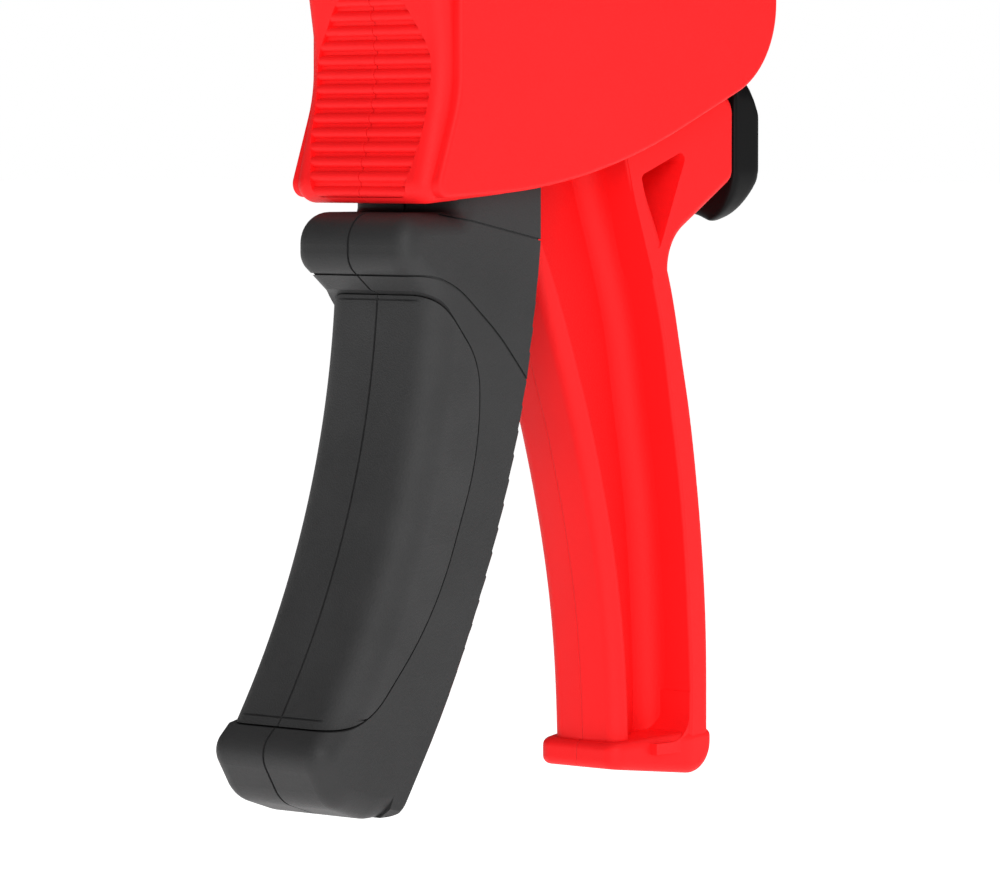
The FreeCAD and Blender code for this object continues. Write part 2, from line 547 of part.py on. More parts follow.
def screw(x, z, head_y, length):
    head = cyl_y(x, z, head_y - 2.4, head_y, SCREW_HEAD_R)
    head = round_edges(head, 0.8, lambda e: at_y(e, head_y))
    socket = cyl_y(x, z, head_y - 1.5, head_y + 1, 1.5)
    return head.fuse(cyl_y(x, z, head_y - 2.4 - length, head_y - 2.4, SCREW_R)).cut(socket)


def main():
    os.makedirs(PARTS, exist_ok=True)
    right, left = housing_halves()
    save("housing_right", right)
    save("housing_left", left)
    shell_r, pad_r, shell_l, pad_l = handle_parts()
    save("handle_right", shell_r)
    save("handle_left", shell_l)
    save("grip_pad_right", pad_r)
    save("grip_pad_left", pad_l)
    save("trigger", trigger())
    save("trigger_pin", cyl_y(*PIVOT, 0.1 - PIN_HALF, PIN_HALF - 0.1, PIVOT_R))
    save("drive_roller", cyl_y(PIVOT[0], PIVOT[1] + ARM, -9.2, 9.2, 4.0).cut(
        cyl_y(PIVOT[0], PIVOT[1] + ARM, -20, 20, 1.55)))
    save("roller_pin", cyl_y(PIVOT[0], PIVOT[1] + ARM, -13.0, 13.0, 1.5))
    grip = [(-9.0, -25.0, 2.0), (9.0, -25.0, 2.0), (9.0, 12.0, 4.0), (-9.0, 12.0, 4.0)]
    for name, x in (("drive_plate_rear", -35.9), ("drive_plate_front", -32.8)):
        save(name, plate(grip, x, x + 3.0).cut(cyl_x(x - 1, x + 5, PLATE_HOLE_R)))
    save("drive_spring", spring(-29.6, -8.3, 8.4, 0.9, 6))
    save("brake_plate", brake_plate())
    save("brake_spring", spring(-96.6, -82.0, 8.0, 0.8, 5))
    save("release_lever", release_lever())
    save("spring_stop", cyl_x(-81.8, -79.8, 12.0).cut(cyl_x(-90, -70, 6.2)))
    bush = cyl_x(-8.2, -3.7, 15.0).fuse(cyl_x(-3.7, 10.0, SPIGOT_R))
    save("front_bush", bush.cut(cyl_x(-10, 12, ROD_HOLE_R)))
    rear = cyl_x(-117.5, -114.4, 12.0).fuse(cyl_x(-114.4, -108.0, 9.0))
    save("rear_bush", rear.cut(cyl_x(-120, -100, ROD_HOLE_R)))
    save("swivel_washer", cyl_x(0.0, 1.6, 20.0).cut(cyl_x(-1, 3, SPIGOT_R + 0.1)))
    save("cradle_collar", cradle_collar())
    save("cradle_trough", trough())
    save("cradle_front_plate", front_plate())
    save("collar_nut", hexagon(5.1, 9.7, 30.0).cut(cyl_x(0, 12, SPIGOT_R + 0.01)))
    save("push_rod", rod())
    save("piston_plate", piston())
    save("piston_nut", hexagon(15.0, 21.2, 13.0).cut(cyl_x(10, 24, 4.01)))
    save("rod_pull", rod_pull())
    save("pull_pin", cyl_y(-326.0, 0.0, -8.4, 8.4, 1.5))
    save("front_bumper", front_bumper())
    save("handle_pin", cyl_y(*HANDLE_PIN, 0.1 - PIN_HALF, PIN_HALF - 0.1, HANDLE_PIN_R))
    save("housing_screws", Part.makeCompound(
        [screw(x, z, PANEL_HALF - 0.4, 34.0) for x, z in HOUSING_SCREWS]))
    save("handle_screws", Part.makeCompound(
        [screw(x, z, HANDLE_HALF - 0.2, 24.5) for x, z in HANDLE_SCREWS]))


main()
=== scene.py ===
"""Looks of a manual caulking gun: moulded red housing and trigger, black soft-grip handle,
plated steel push rod with its gripping plates and springs, and a swivelling cradle.

Laid out as an add-on and run as a script.  Lengths are in metres, +X runs forwards along the
push rod, +Y is the gun's left side and +Z is up.
"""
import bmesh
import bpy
import json
import math
from bpy.props import FloatProperty, FloatVectorProperty, IntProperty, PointerProperty
from mathutils import Matrix, Vector


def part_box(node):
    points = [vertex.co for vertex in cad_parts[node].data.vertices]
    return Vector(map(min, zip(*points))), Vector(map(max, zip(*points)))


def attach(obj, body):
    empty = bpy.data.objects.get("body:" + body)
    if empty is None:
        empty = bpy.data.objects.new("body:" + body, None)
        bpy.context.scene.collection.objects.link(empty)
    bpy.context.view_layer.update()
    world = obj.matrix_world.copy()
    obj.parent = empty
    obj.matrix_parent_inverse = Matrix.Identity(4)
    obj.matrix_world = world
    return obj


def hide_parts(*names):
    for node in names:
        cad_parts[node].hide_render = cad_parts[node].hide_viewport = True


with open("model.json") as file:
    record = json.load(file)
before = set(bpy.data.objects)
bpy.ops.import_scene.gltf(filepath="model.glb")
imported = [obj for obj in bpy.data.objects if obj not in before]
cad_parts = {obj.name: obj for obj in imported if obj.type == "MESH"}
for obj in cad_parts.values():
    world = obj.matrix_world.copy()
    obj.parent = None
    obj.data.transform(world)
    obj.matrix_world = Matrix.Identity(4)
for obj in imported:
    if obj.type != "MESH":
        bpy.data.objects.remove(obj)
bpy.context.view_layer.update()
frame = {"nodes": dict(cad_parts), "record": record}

bl_info = {
    "name": "Caulking Gun",
    "version": (1, 0, 0),
    "blender": (4, 5, 0),
    "location": "View3D > Sidebar > Caulking Gun",
    "description": "Builds the finishes and detailed pieces of a manual caulking gun",
    "category": "Object",
}

MM = 0.001

# Sizes and places of the remodelled pieces, in millimetres.
HOUSING_SCREWS = ((-12.0, 16.5), (-11.0, -21.0), (-60.0, 17.0), (-67.0, -19.0), (-86.0, 17.5),
                  (-99.5, -40.0))   # x and z of each screw's centre
HANDLE_SCREWS = ((-93.8, -69.4), (-101.5, -124.0), (-119.0, -181.0))
SCREW_HEAD_HEIGHT = 2.4
SCREW_HEAD_ROUNDING = 0.8
SCREW_SHANK_RADIUS = 1.9
SCREW_POINT = 1.0                   # length of the tapered tip
SCREW_SOCKET_DEPTH = 1.5

NOSE = ((-5.9, -15.6, -81.2), (3.4, 15.6, -46.0))   # the front stop's block, low and high corner
NOSE_CORNERS = ((-81.2, 12.0), (-46.0, 6.0))        # height of its end and radius of the corners
NOSE_SLOPES = (((3.4, 0.0, -56.0), (0.87, 0.0, 0.42)),      # point and direction of each cut
               ((3.4, 0.0, -70.5), (0.90, 0.0, -0.44)),
               ((-0.2, 0.0, -78.5), (0.62, 0.0, -0.78)))
NOSE_ARCH_Z = -92.6                 # centre and radius of the hollow under the nose
NOSE_ARCH_RADIUS = 14.0
NOSE_SKIN = 0.4                     # cell of the even skin over the nose
STOP_STEM = ((-4.6, -9.0, -48.0), (-1.6, 9.0, -31.5))
STOP_CROSSBAR = ((-6.4, -9.0, -33.6), (0.2, 9.0, -31.0))
STOP_EDGE = 0.4

NUTS = (("collar_nut", "cradle", 30.0, 11.01),      # node, body, width across flats, bore radius
        ("piston_nut", "rod", 13.0, 4.01))
PISTON_SHEET = 2.0                  # thickness of the piston's disc
PISTON_RIM = 1.8                    # width of its raised rim
PISTON_RINGS = ((2.2, 0.0), (2.0, 1.0), (2.6, -1.0), (2.0, 1.0))    # inwards step and lift
PISTON_BORE = 4.01
PISTON_EDGE = 0.35

# Where the camera and the lights stand and look, in metres.
CAMERA_PLACE = (-0.9837, -0.8240, -0.06406)
CAMERA_TARGET = (-0.0686, 0.0, -0.1273)
LIGHTS = (("Key light", "key", (0.60, -1.30, 0.35), (-0.07, 0.0, -0.12), 0.9),
          ("Fill light", "fill", (-1.10, -1.05, 0.50), (-0.07, 0.0, -0.12), 1.0),
          ("Top light", "top", (0.10, -0.20, 1.20), (-0.05, 0.0, -0.05), 1.2))
WORLD_LIGHT = 0.10
FLOOR_GLOW = 0.95


# ---- values that a user would change -------------------------------------------------------
def colour(name, description, default):
    """A colour that the user can change."""
    return FloatVectorProperty(name=name, description=description, subtype="COLOR", size=3,
                               min=0.0, max=1.0, default=default)


def length(name, description, default):
    """A length that the user can change."""
    return FloatProperty(name=name, description=description, subtype="DISTANCE",
                         unit="LENGTH", precision=5, min=0.0, default=default)


class GunColours(bpy.types.PropertyGroup):
    """Base colours of the gun's finishes."""
    red: colour("Red plastic", "Housing and trigger", (0.90, 0.010, 0.012))
    black: colour("Black plastic", "Handle, release lever and rod pull", (0.029, 0.029, 0.0294))
    # The front stop's black is far darker than the handle's: its smooth black plastic plus
    # painted shade for the gap between the trigger's knee and the housing.
    stop: colour("Smooth black", "Front stop", (0.0035, 0.0035, 0.0037))
    grip: colour("Soft grip", "Rubber pads of the handle", (0.028, 0.028, 0.0284))
    steel: colour("Plated steel", "Rod, gripping plates, pins, nuts and screws",
                  (0.46, 0.46, 0.48))
    wire: colour("Spring wire", "Drive and brake springs", (0.32, 0.32, 0.33))
    cradle: colour("Cradle paint", "Half-round cradle and its plates", (0.022, 0.022, 0.024))
    bush: colour("Bush plastic", "Bushes and swivel washer", (0.055, 0.055, 0.058))
    floor: colour("Floor", "Plain floor under the gun", (0.92, 0.92, 0.92))


class GunSizes(bpy.types.PropertyGroup):
    """Sizes of the gun's surface detail and small pieces."""
    red_grain: length("Red grain", "Width of the red plastic's moulded grain", 0.45 * MM)
    black_grain: length("Black grain", "Width of the black plastic's moulded grain", 0.40 * MM)
    grip_grain: length("Grip grain", "Width of the rubber pads' speckle", 0.45 * MM)
    parting_line: length("Parting line", "Width of the mould's line along the trigger's back",
                         0.5 * MM)
    stop_rounding: length("Stop rounding", "Rounding of the front stop's nose", 2.6 * MM)
    screw_head: length("Screw head", "Radius of the screws' heads", 3.6 * MM)
    hex_key: length("Key size", "Width across the flats of the screws' sockets", 2.5 * MM)
    drive_wire: length("Drive spring wire", "Wire diameter of the drive spring", 1.8 * MM)
    brake_wire: length("Brake spring wire", "Wire diameter of the brake spring", 1.6 * MM)
    drive_turns: IntProperty(name="Drive spring turns", description="Turns of the drive spring",
                             min=3, max=12, default=6)
    brake_turns: IntProperty(name="Brake spring turns", description="Turns of the brake spring",
                             min=3, max=12, default=5)


class StageSettings(bpy.types.PropertyGroup):
    """Floor, lights and camera."""
    floor_drop: length("Floor drop", "Floor's distance below the rod's axis", 300 * MM)
    lens: FloatProperty(name="Lens", description="Focal length for a 36 mm wide sensor",
                        unit="CAMERA", min=10.0, default=199.8)
    key: FloatProperty(name="Key light", description="Power of the light at the front right",
                       subtype="POWER", unit="POWER", min=0.0, default=3.0)
    fill: FloatProperty(name="Fill light", description="Power of the light at the rear right",
                        subtype="POWER", unit="POWER", min=0.0, default=15.0)
    top: FloatProperty(name="Top light", description="Power of the overhead light",
                       subtype="POWER", unit="POWER", min=0.0, default=6.0)


# ---- node materials ------------------------------------------------------------------------
def new_material(name):
    """Material with an emptied tree, its shader and the object's coordinates."""
    made = bpy.data.materials.new(name)
    made.use_nodes = True
    tree = made.node_tree
    tree.nodes.clear()
    out = tree.nodes.new("ShaderNodeOutputMaterial")
    shader = tree.nodes.new("ShaderNodeBsdfPrincipled")
    coords = tree.nodes.new("ShaderNodeTexCoord")
    tree.links.new(shader.outputs["BSDF"], out.inputs["Surface"])
    return made, tree, shader, coords.outputs["Object"]


def noise(tree, coords, width, detail=2.0, rough=0.5, stretch=None):
    """Noise whose blobs are about that wide."""
    node = tree.nodes.new("ShaderNodeTexNoise")
    node.inputs["Scale"].default_value = 1.0 / width
    node.inputs["Detail"].default_value = detail
    node.inputs["Roughness"].default_value = rough
    if stretch:
        mapping = tree.nodes.new("ShaderNodeMapping")
        mapping.inputs["Scale"].default_value = stretch
        tree.links.new(coords, mapping.inputs["Vector"])
        coords = mapping.outputs["Vector"]
    tree.links.new(coords, node.inputs["Vector"])
    return node.outputs["Fac"]


def spread(tree, value, low, high, start=0.3, end=0.7):
    """Maps a value between start and end to one between low and high."""
    node = tree.nodes.new("ShaderNodeMapRange")
    for socket, number in (("From Min", start), ("From Max", end),
                           ("To Min", low), ("To Max", high)):
        node.inputs[socket].default_value = number
    tree.links.new(value, node.inputs["Value"])
    return node.outputs["Result"]


def bump(tree, height, depth, under=None, strength=1.0):
    """Bump of that depth, over another bump if there is one."""
    node = tree.nodes.new("ShaderNodeBump")
    node.inputs["Distance"].default_value = depth
    node.inputs["Strength"].default_value = strength
    tree.links.new(height, node.inputs["Height"])
    if under:
        tree.links.new(under, node.inputs["Normal"])
    return node.outputs["Normal"]


def shaded(tree, value, base, low, high):
    """Base colour that drifts between low and high times its brightness."""
    ramp = tree.nodes.new("ShaderNodeValToRGB")
    for stop, gain, place in zip(ramp.color_ramp.elements, (low, high), (0.3, 0.7)):
        stop.position = place
        stop.color = (*(min(1.0, part * gain) for part in base), 1.0)
    tree.links.new(value, ramp.inputs["Fac"])
    return ramp.outputs["Color"]


def moulded_plastic(name, base, grain, depth, rough, drift=0.06, specular=0.5):
    """Fine-textured moulded plastic: pebbled grain, faint flow marks and uneven gloss."""
    made, tree, shader, coords = new_material(name)
    fine = noise(tree, coords, grain, 3.0, 0.6)
    flow = noise(tree, coords, 60 * grain, 2.0)
    tree.links.new(shaded(tree, flow, base, 1 - drift, 1 + drift), shader.inputs["Base Color"])
    tree.links.new(spread(tree, fine, rough - 0.05, rough + 0.07), shader.inputs["Roughness"])
    low = bump(tree, noise(tree, coords, 9 * grain, 1.0), 1.2 * depth, strength=0.5)
    tree.links.new(bump(tree, fine, depth, low), shader.inputs["Normal"])
    shader.inputs["Specular IOR Level"].default_value = specular
    return made


def add_parting_line(made, width, depth):
    """Cuts a faint line into a material along the gun's middle plane."""
    tree = made.node_tree
    shader = next(node for node in tree.nodes if node.type == "BSDF_PRINCIPLED")
    coords = next(node for node in tree.nodes if node.type == "TEX_COORD")
    parts = tree.nodes.new("ShaderNodeSeparateXYZ")
    tree.links.new(coords.outputs["Object"], parts.inputs["Vector"])
    off = tree.nodes.new("ShaderNodeMath")
    off.operation = "ABSOLUTE"
    tree.links.new(parts.outputs["Y"], off.inputs[0])
    groove = spread(tree, off.outputs["Value"], 0.0, 1.0, 0.0, width / 2)
    under = shader.inputs["Normal"].links[0].from_socket
    tree.links.new(bump(tree, groove, depth, under), shader.inputs["Normal"])


def soft_rubber(name, base, grain, depth, rough):
    """Soft grip rubber: coarse speckle, matt sheen and rubbed patches."""
    made, tree, shader, coords = new_material(name)
    speckle = tree.nodes.new("ShaderNodeTexVoronoi")
    speckle.inputs["Scale"].default_value = 1.0 / grain
    tree.links.new(coords, speckle.inputs["Vector"])
    fine = noise(tree, coords, 0.6 * grain, 4.0, 0.65)
    patches = noise(tree, coords, 30 * grain, 3.0)
    tree.links.new(shaded(tree, patches, base, 0.9, 1.15), shader.inputs["Base Color"])
    tree.links.new(spread(tree, fine, rough - 0.08, rough + 0.08), shader.inputs["Roughness"])
    pits = bump(tree, speckle.outputs["Distance"], depth, strength=0.6)
    tree.links.new(bump(tree, fine, depth, pits), shader.inputs["Normal"])
    shader.inputs["Specular IOR Level"].default_value = 0.28
    shader.inputs["Sheen Weight"].default_value = 0.04
    shader.inputs["Sheen Roughness"].default_value = 0.5
    return made


def brushed_steel(name, base, grain, rough, stretch):
    """Plated steel with fine lines along one direction and a cloudy plating."""
    made, tree, shader, coords = new_material(name)
    lines = noise(tree, coords, grain, 3.0, 0.6, stretch)
    cloud = noise(tree, coords, 12 * MM, 3.0)
    tree.links.new(shaded(tree, cloud, base, 0.88, 1.08), shader.inputs["Base Color"])
    tree.links.new(spread(tree, lines, rough - 0.08, rough + 0.10), shader.inputs["Roughness"])
    tree.links.new(bump(tree, lines, 0.01 * MM), shader.inputs["Normal"])
    shader.inputs["Metallic"].default_value = 1.0
    return made


def satin_paint(name, base, rough):
    """Baked satin paint with a slight orange peel."""
    made, tree, shader, coords = new_material(name)
    peel = noise(tree, coords, 1.6 * MM, 2.0)
    tree.links.new(shaded(tree, noise(tree, coords, 30 * MM), base, 0.92, 1.1),
                   shader.inputs["Base Color"])
    tree.links.new(spread(tree, peel, rough - 0.03, rough + 0.05), shader.inputs["Roughness"])
    tree.links.new(bump(tree, peel, 0.03 * MM), shader.inputs["Normal"])
    shader.inputs["Coat Weight"].default_value = 0.15
    shader.inputs["Coat Roughness"].default_value = 0.25
    return made


FINISHES = {}


def finish_for(slot):
    """The material of a slot, or of the front stop's smooth black plastic darkened with painted
    shade, made once.
    """
    if slot in FINISHES:
        return FINISHES[slot]
    tone, size = bpy.context.scene.gun_colours, bpy.context.scene.gun_sizes
    along, around = (0.05, 1.0, 1.0), (1.0, 0.2, 1.0)
    makers = {
        "red_plastic": lambda: moulded_plastic(
            "Red moulded plastic", tone.red, size.red_grain,
            depth=0.045 * MM, rough=0.52, drift=0.03, specular=0.16),
        "black_plastic": lambda: moulded_plastic(
            "Black moulded plastic", tone.black, size.black_grain,
            depth=0.07 * MM, rough=0.50, drift=0.10, specular=0.22),
        # Front stop: smooth black plastic whose colour also carries painted shade from the gap
        # behind the trigger's knee.
        "stop_plastic_painted_shade": lambda: moulded_plastic(
            "Smooth black plastic", tone.stop, size.black_grain,
            depth=0.012 * MM, rough=0.34, drift=0.08, specular=0.10),
        "soft_grip": lambda: soft_rubber(
            "Soft grip rubber", tone.grip, size.grip_grain, depth=0.07 * MM, rough=0.58),
        "bright_steel": lambda: brushed_steel(
            "Zinc-plated steel", tone.steel, grain=0.35 * MM, rough=0.30, stretch=along),
        "spring_steel": lambda: brushed_steel(
            "Spring wire", tone.wire, grain=0.25 * MM, rough=0.34, stretch=around),
        "cradle_steel": lambda: satin_paint("Satin black paint", tone.cradle, rough=0.36),
        "bush_plastic": lambda: moulded_plastic(
            "Bush plastic", tone.bush, grain=0.8 * MM, depth=0.015 * MM, rough=0.42),
    }
    FINISHES[slot] = makers[slot]()
    return FINISHES[slot]


# ---- shared steps --------------------------------------------------------------------------
def only(*objects):
    """Selects just these objects and makes the first one active."""
    if bpy.context.object and bpy.context.object.mode != "OBJECT":
        bpy.ops.object.mode_set(mode="OBJECT")
    bpy.ops.object.select_all(action="DESELECT")
    for each in objects:
        each.select_set(True)
    if objects:
        bpy.context.view_layer.objects.active = objects[0]


def slot_of(node):
    """The record's material slot of a CAD node."""
    for part in frame["record"]["subparts"]:
        if part["node"] == node:
            return part["material_slot"]
    raise RuntimeError(f"no such node: {node}")


def dress(*nodes):
    """Gives CAD nodes their finish."""
    for node in nodes:
        part = frame["nodes"][node]
        part.data.materials.clear()
        part.data.materials.append(finish_for(slot_of(node)))


def primitive(kind, name, **how):
    """A primitive whose place and size are already in its mesh."""
    only()
    getattr(bpy.ops.mesh, f"primitive_{kind}_add")(**how)
    made = bpy.context.object
    made.name = name
    bpy.ops.object.transform_apply(location=True, rotation=True, scale=True)
    return made


def block(name, low, high):
    """A box between two corners, in millimetres."""
    middle = [(a + b) / 2 * MM for a, b in zip(low, high)]
    size = [(b - a) * MM for a, b in zip(low, high)]
    return primitive("cube", name, size=1.0, location=middle, scale=size)


def bar(name, axis, start, end, radius, place=(0.0, 0.0), sides=64):
    """A round or many-sided bar along X or Y, in millimetres; place is the other two."""
    middle = (start + end) / 2
    if axis == "X":
        at, turn = (middle, *place), (0.0, math.pi / 2, 0.0)
    else:
        at, turn = (place[0], middle, place[1]), (math.pi / 2, 0.0, 0.0)
    return primitive("cylinder", name, vertices=sides, radius=radius * MM,
                     depth=(end - start) * MM, location=[each * MM for each in at], rotation=turn)


def pick(piece, kind, wanted):
    """Enters edit mode with just those faces or edges selected."""
    only(piece)
    bpy.ops.object.mode_set(mode="EDIT")
    bpy.ops.mesh.select_mode(type="FACE" if kind == "faces" else "EDGE")
    bpy.ops.mesh.select_all(action="DESELECT")
    mesh = bmesh.from_edit_mesh(piece.data)
    chosen = [each for each in getattr(mesh, kind) if wanted(each)]
    for each in chosen:
        each.select_set(True)
    bmesh.update_edit_mesh(piece.data)
    if not chosen:
        raise RuntimeError(f"{piece.name}: nothing to shape")


def flat_at(axis, value):
    """Faces that lie flat at a place along an axis, in millimetres."""
    def wanted(face):
        middle = face.calc_center_median()[axis]
        return abs(face.normal[axis]) > 0.99 and abs(middle - value * MM) < 0.02 * MM
    return wanted


def apply_modifier(piece, kind, **settings):
    """Adds a modifier, sets it up and applies it."""
    only(piece)
    modifier = piece.modifiers.new(kind.title(), kind)
    for name, value in settings.items():
        setattr(modifier, name, value)
    bpy.ops.object.modifier_apply(modifier=modifier.name)


def carve(piece, tool, operation="DIFFERENCE"):
    """Cuts a tool out of a piece, or keeps what they share, and removes the tool."""
    apply_modifier(piece, "BOOLEAN", operation=operation, object=tool, solver="EXACT")
    bpy.data.objects.remove(tool, do_unlink=True)


def join(name, *pieces):
    """Several meshes as one object."""
    only(*pieces)
    bpy.ops.object.join()
    pieces[0].name = name
    return pieces[0]


def complete(piece, body, slot, *nodes, angle=32.0, finish=None):
    """Cleans, smooths and finishes a piece, and lets it stand for CAD nodes on its body."""
    only(piece)
    bpy.ops.object.mode_set(mode="EDIT")
    bpy.ops.mesh.select_all(action="SELECT")
    bpy.ops.mesh.remove_doubles(threshold=0.002 * MM)
    bpy.ops.mesh.normals_make_consistent(inside=False)
    bpy.ops.object.mode_set(mode="OBJECT")
    bpy.ops.object.shade_smooth_by_angle(angle=math.radians(angle))
    piece.data.materials.clear()
    piece.data.materials.append(finish_for(finish or slot))
    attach(piece, body)
    if nodes:
        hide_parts(*nodes)


# ---- operators -----------------------------------------------------------------------------
class GUN_OT_dress_nodes(bpy.types.Operator):
    """Give every part its moulded, rubber, painted or plated finish"""
    bl_idname = "gun.dress_nodes"
    bl_label = "Finishes"

    def execute(self, context):
        dress(*frame["nodes"])
        trigger = frame["nodes"]["trigger"]
        lined = finish_for("red_plastic").copy()
        lined.name = "Red trigger plastic"
        add_parting_line(lined, context.scene.gun_sizes.parting_line, 0.12 * MM)
        trigger.data.materials[0] = lined
        return {"FINISHED"}


class GUN_OT_front_stop(bpy.types.Operator):
    """Model the bull-nosed stop in front of the trigger's knee"""
    bl_idname = "gun.front_stop"
    bl_label = "Front stop"

    def execute(self, context):
        rounding = context.scene.gun_sizes.stop_rounding
        nose = block("front_stop", *NOSE)
        for height, radius in NOSE_CORNERS:
            pick(nose, "edges", self.end_corners(height))
            bpy.ops.mesh.bevel(offset=radius * MM, segments=10, affect="EDGES")
            bpy.ops.object.mode_set(mode="OBJECT")
        # slope the nose back above and below
        for place, normal in NOSE_SLOPES:
            only(nose)
            bpy.ops.object.mode_set(mode="EDIT")
            bpy.ops.mesh.select_all(action="SELECT")
            bpy.ops.mesh.bisect(plane_co=Vector(place) * MM, plane_no=normal, use_fill=True,
                                clear_outer=True)
            bpy.ops.object.mode_set(mode="OBJECT")
        carve(nose, bar("arch", "X", -20.0, 20.0, NOSE_ARCH_RADIUS, place=(0.0, NOSE_ARCH_Z),
                        sides=96))
        # an even skin, relaxed until its edges are as round as the moulded nose
        apply_modifier(nose, "REMESH", mode="VOXEL", voxel_size=NOSE_SKIN * MM)
        apply_modifier(nose, "SMOOTH", factor=0.5, iterations=int(8 * (rounding / MM) ** 2))
        stem = block("stem", *STOP_STEM)
        crossbar = block("crossbar", *STOP_CROSSBAR)
        for piece in (stem, crossbar):
            apply_modifier(piece, "BEVEL", width=STOP_EDGE * MM, segments=2)
        # The stop takes the darker black, partly its smooth plastic and partly painted shade.
        complete(join("front_stop", nose, stem, crossbar), "frame", "black_plastic",
                 "front_bumper", angle=40.0, finish="stop_plastic_painted_shade")
        return {"FINISHED"}

    def end_corners(self, height):
        """Edges that run front to back across one end of the block, in millimetres."""
        def wanted(edge):
            first, second = edge.verts
            level = all(abs(vert.co.z - height * MM) < 0.01 * MM for vert in edge.verts)
            return level and abs(first.co.y - second.co.y) < 0.01 * MM
        return wanted


class GUN_OT_screws(bpy.types.Operator):
    """Model one domed socket screw and copy it to every screw hole"""
    bl_idname = "gun.screws"
    bl_label = "Screws"

    def execute(self, context):
        sizes = context.scene.gun_sizes
        housing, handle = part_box("housing_screws"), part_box("handle_screws")
        for name, box, places in (("housing_screw_set", housing, HOUSING_SCREWS),
                                  ("handle_screw_set", handle, HANDLE_SCREWS)):
            top, tip = box[1][1] / MM, box[0][1] / MM
            first = self.screw(sizes, top, tip)
            copies = []
            for x, z in places:
                copy = first.copy()
                copy.data = first.data.copy()
                context.collection.objects.link(copy)
                copy.data.transform(Matrix.Translation((x * MM, 0.0, z * MM)))
                copies.append(copy)
            bpy.data.objects.remove(first, do_unlink=True)
            complete(join(name, *copies), "frame", "bright_steel",
                     name.replace("_screw_set", "_screws"))
        return {"FINISHED"}

    def screw(self, sizes, top, tip):
        """One screw along Y, from its head's top to its tip, in millimetres."""
        under = top - SCREW_HEAD_HEIGHT
        head = bar("screw", "Y", under, top, sizes.screw_head / MM, sides=48)
        pick(head, "faces", flat_at(1, top))
        bpy.ops.mesh.bevel(offset=SCREW_HEAD_ROUNDING * MM, segments=5, affect="EDGES")
        bpy.ops.object.mode_set(mode="OBJECT")
        pick(head, "faces", flat_at(1, under))
        bpy.ops.mesh.inset(thickness=sizes.screw_head - SCREW_SHANK_RADIUS * MM)
        for reach in (tip + SCREW_POINT - under, -SCREW_POINT):
            bpy.ops.mesh.extrude_region_move(
                TRANSFORM_OT_translate={"value": (0.0, reach * MM, 0.0)})
        bpy.ops.transform.resize(value=(0.45, 1.0, 0.45))
        bpy.ops.object.mode_set(mode="OBJECT")
        carve(head, bar("socket", "Y", top - SCREW_SOCKET_DEPTH, top + 1.0,
                        sizes.hex_key / MM / math.sqrt(3), sides=6))
        return head


class GUN_OT_springs(bpy.types.Operator):
    """Wind the drive and brake springs with ground end turns"""
    bl_idname = "gun.springs"
    bl_label = "Springs"

    def execute(self, context):
        sizes = context.scene.gun_sizes
        self.wind("drive_spring", sizes.drive_wire, sizes.drive_turns)
        self.wind("brake_spring", sizes.brake_wire, sizes.brake_turns)
        return {"FINISHED"}

    def wind(self, node, wire, turns):
        """A coil that fills its node's box, cut flat at both ends."""
        low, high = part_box(node)
        radius = (high[1] - low[1] - wire) / 2
        start, end = low[0] + wire / 2, high[0] - wire / 2
        coil = primitive("circle", node + "_coil", vertices=16, radius=wire / 2,
                         location=(start, 0.0, radius), rotation=(math.pi / 2, 0.0, 0.0))
        apply_modifier(coil, "SCREW", axis="X", angle=2 * math.pi * turns,
                       screw_offset=end - start, steps=48 * turns, render_steps=48 * turns)
        only(coil)
        bpy.ops.object.mode_set(mode="EDIT")
        bpy.ops.mesh.select_all(action="SELECT")
        for place, side in ((start - 0.25 * wire, -1.0), (end + 0.25 * wire, 1.0)):
            bpy.ops.mesh.bisect(plane_co=(place, 0.0, 0.0), plane_no=(side, 0.0, 0.0),
                                use_fill=True, clear_outer=True)
            bpy.ops.mesh.select_all(action="SELECT")
        bpy.ops.mesh.select_all(action="DESELECT")
        bpy.ops.mesh.select_mode(type="EDGE")
        bpy.ops.mesh.select_non_manifold()
        bpy.ops.mesh.fill()
        bpy.ops.object.mode_set(mode="OBJECT")
        complete(coil, "frame", "spring_steel", node, angle=50.0)


class GUN_OT_nuts(bpy.types.Operator):
    """Model the chamfered hexagon nuts on the front bush and on the piston"""
    bl_idname = "gun.nuts"
    bl_label = "Nuts"

    def execute(self, context):
        for node, body, flats, bore in NUTS:
            self.nut(node, body, flats, bore)
        return {"FINISHED"}

    def nut(self, node, body, flats, bore):
        """A hexagon with chamfered corners and a bore, in millimetres."""
        low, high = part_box(node)
        start, end = low[0] / MM, high[0] / MM
        nut = bar(node + "_hex", "X", start, end, flats / math.sqrt(3), sides=6)
        only(nut)
        bpy.ops.transform.rotate(value=math.pi / 6, orient_axis="X",
                                 center_override=(0.0, 0.0, 0.0))
        bpy.ops.object.transform_apply(location=True, rotation=True, scale=True)
        turned = bar("turned", "X", start, end, flats / math.sqrt(3) - 0.02 * flats, sides=96)
        pick(turned, "faces", lambda face: abs(face.normal.x) > 0.99)
        bpy.ops.mesh.bevel(offset=0.06 * flats * MM, segments=1, affect="EDGES")
        bpy.ops.object.mode_set(mode="OBJECT")
        carve(nut, turned, "INTERSECT")
        carve(nut, bar("hole", "X", start - 1.0, end + 1.0, bore, sides=96))
        complete(nut, body, "bright_steel", node)


